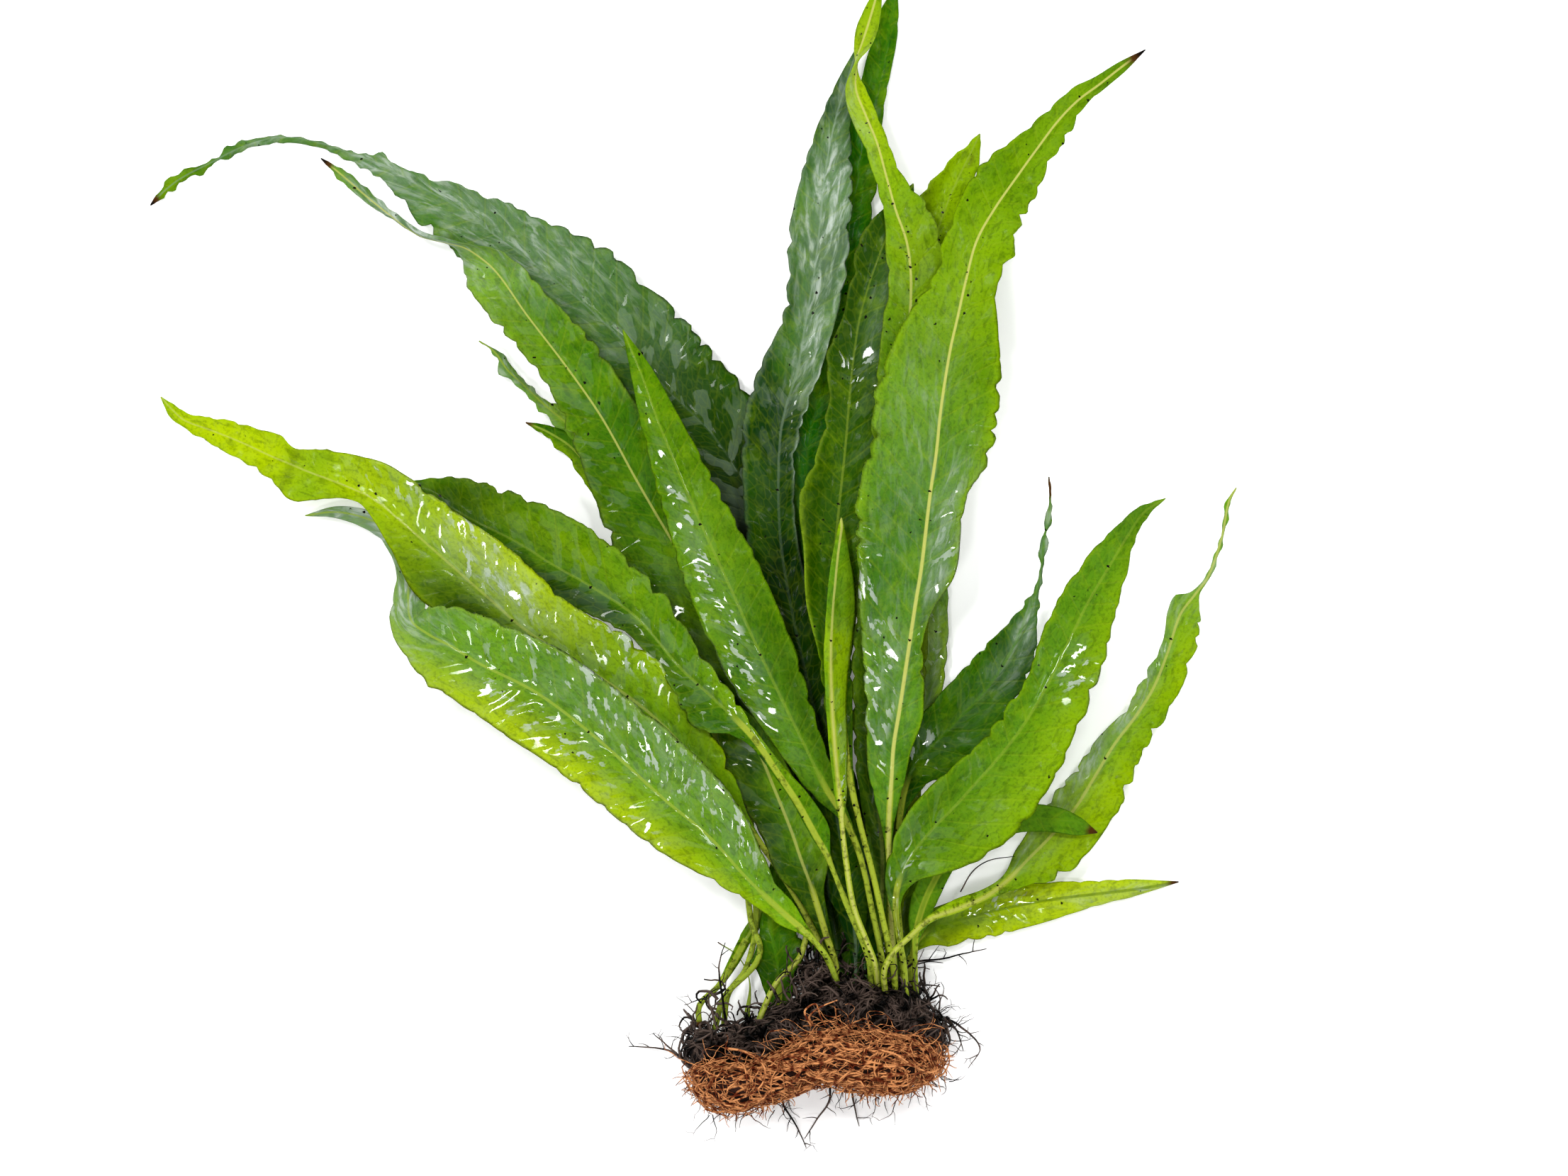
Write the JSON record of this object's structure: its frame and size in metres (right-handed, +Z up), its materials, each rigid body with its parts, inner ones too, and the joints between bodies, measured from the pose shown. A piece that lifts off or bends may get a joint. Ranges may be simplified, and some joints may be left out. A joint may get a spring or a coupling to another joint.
{
  "type": "java fern",
  "caption": "Bare-root aquarium fern lying on its back: long pointed wavy leaves fan out from a dark creeping rhizome over a kidney-shaped plug of coconut fibre.",
  "frame": {"origin": "on the flat underside of the coir plug, which lies on the surface, near the plug's middle", "axes": "+Y from the coir plug to the leaf tips, +X to the right seen from above with the leaves pointing away, +Z up from the surface"},
  "size_m": [0.2452, 0.2627, 0.028],
  "materials": {
    "leaf_deep": "wet bluish green leaf",
    "leaf_dark": "wet dark green leaf",
    "leaf_middle": "wet mid-green leaf",
    "leaf_bright": "wet yellow-green leaf",
    "leaf_yellow": "wet pale yellow-green leaf",
    "leaf_olive": "wet olive green leaf",
    "rhizome": "rough, near black, covered in fine roots",
    "coir": "matted reddish brown coconut fibre",
    "root": "dull dark brown"
  },
  "bodies": {
    "root": {"leaf_back_arching": "leaf_deep", "leaf_left_tall": "leaf_middle", "leaf_centre_left": "leaf_middle", "leaf_grey_sheen": "leaf_deep", "leaf_dark_top": "leaf_dark", "leaf_left_middle": "leaf_middle", "leaf_olive_back": "leaf_olive", "leaf_bright_top": "leaf_bright", "leaf_right_tall": "leaf_middle", "leaf_short_top": "leaf_bright", "leaf_centre_upright": "leaf_bright", "leaf_right_front": "leaf_middle", "leaf_right_needle": "leaf_dark", "leaf_small_left": "leaf_olive", "leaf_small_right": "leaf_dark", "leaf_far_right": "leaf_bright", "leaf_left_front": "leaf_middle", "leaf_left_yellow": "leaf_yellow", "leaf_thin_left": "leaf_middle", "leaf_thin_left_low": "leaf_dark", "leaf_bottom_right": "leaf_bright", "leaf_right_back": "leaf_deep", "leaf_young_left": "leaf_dark", "leaf_young_inner": "leaf_middle", "stem_stub": "leaf_bright", "rhizome": "rhizome", "coir_plug": "coir", "root_right_long": "root", "root_right_hook": "root", "root_right_short": "root", "root_left_branch": "root", "root_left_upper": "root", "root_left_long": "root", "root_left_short": "root", "root_below_left": "root", "root_below_middle": "root", "root_below_right": "root"}
  },
  "joints": []
}
